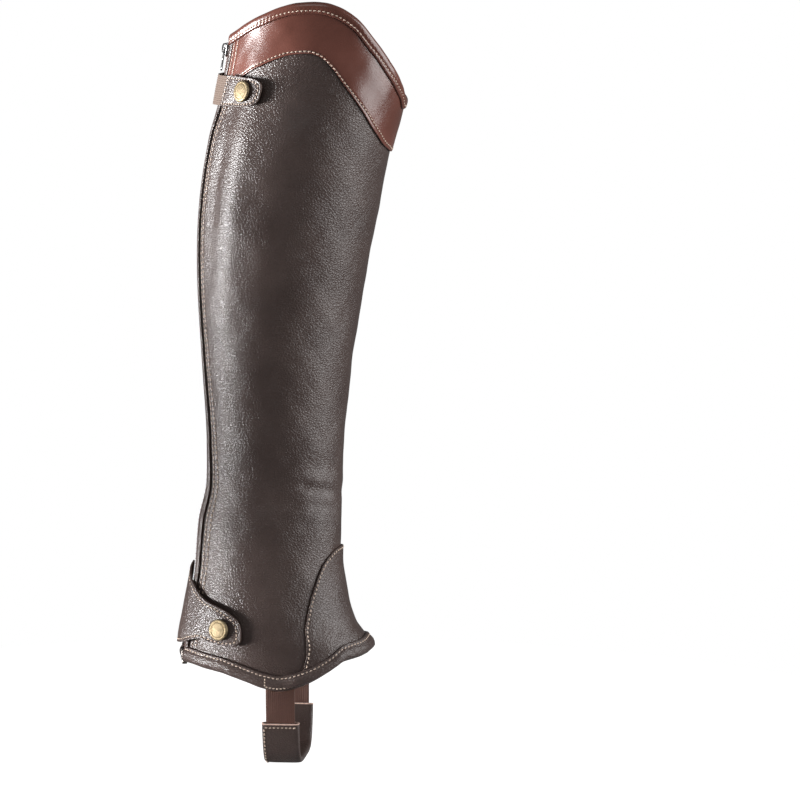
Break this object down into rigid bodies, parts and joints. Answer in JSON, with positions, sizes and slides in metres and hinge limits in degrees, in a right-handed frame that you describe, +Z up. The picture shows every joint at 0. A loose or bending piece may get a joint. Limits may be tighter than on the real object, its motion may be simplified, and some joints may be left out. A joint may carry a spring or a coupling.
{
  "type": "half chap",
  "caption": "Leather half chap for a right lower leg: a zipped, hollow tube with a raised outer top edge, collar, snapped band and ankle flap, and an elastic strap under the foot.",
  "frame": {"origin": "on the leg's axis, level with the back of the hem, where the wearer's ankle holds it", "axes": "+Z up the leg, -Y to the toes, +Y to the back with the zip, -X to the outer side of the right leg"},
  "size_m": [0.1076, 0.1484, 0.4917],
  "materials": {
    "main_leather": "fine pebbled grain, semi-gloss",
    "trim_leather": "smooth, polished",
    "band_elastic": "woven elastic, matte",
    "stirrup_elastic": "woven elastic, matte",
    "zip_tape": "woven tape, matte",
    "zip_teeth": "moulded coil, semi-gloss",
    "nickel": "nickel plated, bright",
    "brass": "antique brass, satin"
  },
  "bodies": {
    "chap": {"ankle_flap": "main_leather", "band_elastic": "band_elastic", "band_snap": "brass", "band_stud": "brass", "band_tab": "main_leather", "body_panel": "main_leather", "collar": "trim_leather", "flap_snap": "brass", "flap_stud": "brass", "gusset": "main_leather", "hem_binding": "main_leather", "stirrup_elastic": "stirrup_elastic", "stirrup_guard": "main_leather", "top_binding": "trim_leather", "top_facing": "trim_leather", "zip_box": "nickel", "zip_chain": "zip_teeth", "zip_edge_strip": "main_leather", "zip_slider": "nickel", "zip_tape_inner": "zip_tape", "zip_tape_outer": "zip_tape"},
    "zip_pull": {"zip_pull": "nickel"}
  },
  "joints": [
    {"name": "pull_hinge", "type": "hinge", "parent": "chap", "child": "zip_pull", "pos_m": [-0.00149, 0.02711, 0.3939], "axis": [0.9817, 0.1905, 0], "range_deg": [0, 165]}
  ]
}
